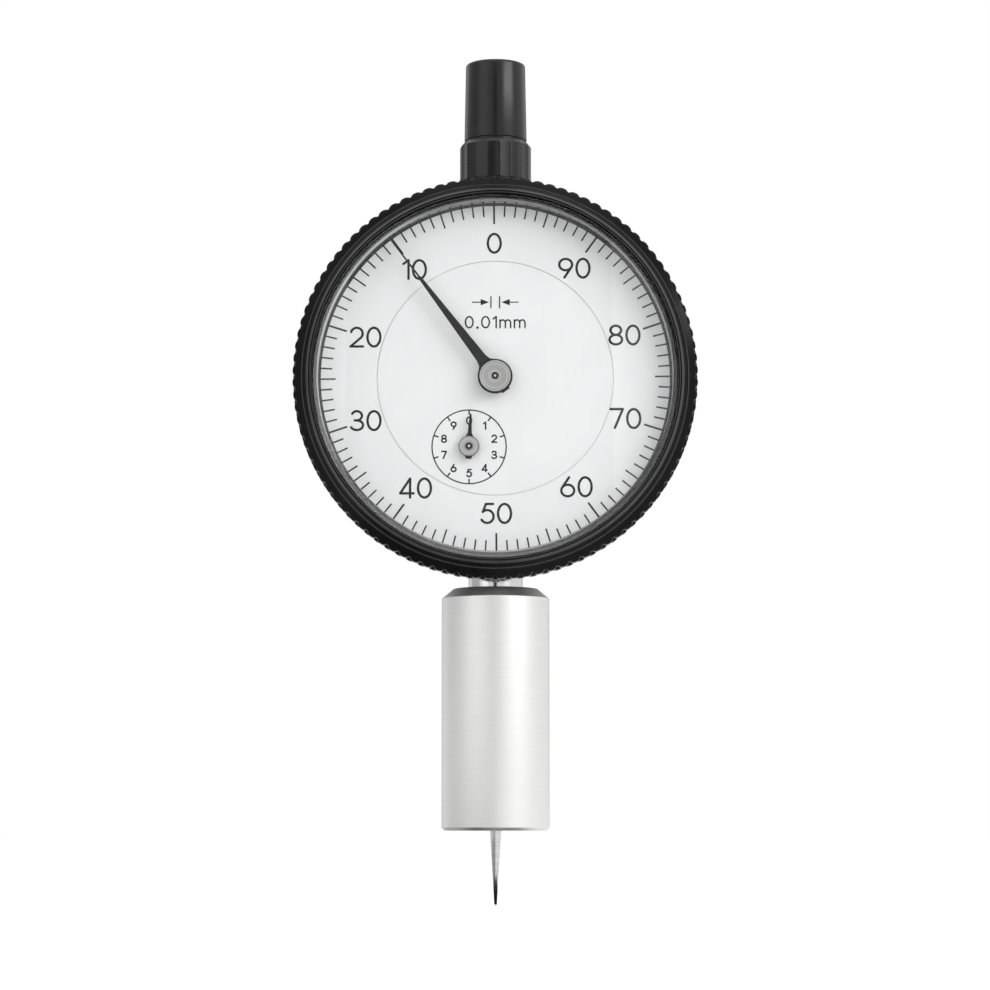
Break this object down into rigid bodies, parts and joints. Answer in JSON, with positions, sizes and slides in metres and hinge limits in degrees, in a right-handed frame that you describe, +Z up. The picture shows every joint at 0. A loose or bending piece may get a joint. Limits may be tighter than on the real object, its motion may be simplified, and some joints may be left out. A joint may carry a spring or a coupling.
{
  "type": "dial depth gauge",
  "caption": "Dial depth gauge: a plunging needle in a round reference base drives a rack and gear train to a long hand and a turns hand under a turning, knurled bezel.",
  "frame": {"origin": "centre of the base's lower reference face, on the spindle axis", "axes": "+Z up along the spindle from the reference face to the cap; the dial faces -Y; +X to the right as the dial is read"},
  "size_m": [0.0598, 0.0183, 0.1263],
  "materials": {
    "black_enamel": "satin black stove enamel over die-cast metal",
    "black_resin": "black glass-filled resin with a fine spark-eroded skin",
    "satin_steel": "hardened steel, satin chromed, fine turned marks",
    "ground_steel": "hardened and ground steel",
    "polished_steel": "hardened steel, polished",
    "dial_white": "flat white dial lacquer",
    "hand_black": "black lacquered pointer",
    "hub_silver": "bright turned face",
    "clear_acrylic": "clear polished acrylic",
    "seal_rubber": "black nitrile rubber",
    "brass": "stamped and turned brass",
    "bronze": "reamed bronze",
    "spring_steel": "drawn spring steel",
    "screw_steel": "nickel plated screw steel",
    "jewel_red": "synthetic ruby"
  },
  "bodies": {
    "case": {"base_clamp_screw": "screw_steel", "bridge_posts": "brass", "bridge_screws": "screw_steel", "cap_seal": "seal_rubber", "case_body": "black_enamel", "centre_bearing": "bronze", "guide_rail": "brass", "guide_rail_screws": "screw_steel", "hairspring": "spring_steel", "hairspring_stud": "brass", "inner_dial": "dial_white", "movement_bridge": "brass", "movement_plate": "brass", "neck_bush": "bronze", "pivot_jewels": "jewel_red", "plate_pillars": "brass", "plate_screws": "screw_steel", "rear_cover": "black_enamel", "rear_cover_screws": "screw_steel", "rear_gasket": "seal_rubber", "reference_base": "satin_steel", "return_spring": "spring_steel", "small_hand_bearing": "bronze", "spindle_cap": "black_resin", "spring_post": "ground_steel", "stem": "polished_steel", "stem_bush": "bronze"},
    "spindle": {"spindle": "ground_steel", "needle_point": "polished_steel", "guide_pin": "ground_steel"},
    "bezel": {"bezel_ring": "black_enamel", "bezel_retaining_wire": "spring_steel", "crystal": "clear_acrylic", "outer_dial": "dial_white"},
    "long_hand": {"centre_pinion": "ground_steel", "long_hand": "hand_black", "long_hand_hub": "hub_silver"},
    "small_hand": {"rack_pinion": "ground_steel", "drive_gear": "brass", "small_hand": "hand_black", "small_hand_hub": "hub_silver"},
    "takeup": {"takeup_gear": "brass", "takeup_arbor": "ground_steel", "hairspring_collet": "brass"}
  },
  "joints": [
    {"name": "spindle_travel", "type": "slide", "parent": "case", "child": "spindle", "axis": [0, 0, 1], "range_m": [0, 0.011], "stiffness_N_per_m": 60, "springref_m": -0.012, "deforming": ["return_spring"]},
    {"name": "bezel_turn", "type": "hinge", "parent": "case", "child": "bezel", "pos_m": [0, -0.0061, 0.0666], "axis": [0, 1, 0], "continuous": true},
    {"name": "long_hand_spin", "type": "hinge", "parent": "case", "child": "long_hand", "pos_m": [0, -0.0061, 0.0666], "axis": [0, 1, 0], "range_deg": [0, 3960]},
    {"name": "small_hand_spin", "type": "hinge", "parent": "case", "child": "small_hand", "pos_m": [-0.00386, -0.0061, 0.0563], "axis": [0, 1, 0], "range_deg": [-396, 0]},
    {"name": "takeup_spin", "type": "hinge", "parent": "case", "child": "takeup", "pos_m": [0.00707, -0.00375, 0.07503], "axis": [0, 1, 0], "range_deg": [-396, 0]}
  ],
  "couplings": [
    {"joint": "long_hand_spin", "follows": "spindle_travel", "rad_per_m": 6283.2},
    {"joint": "small_hand_spin", "follows": "spindle_travel", "rad_per_m": -628.32},
    {"joint": "takeup_spin", "follows": "spindle_travel", "rad_per_m": -628.32}
  ]
}
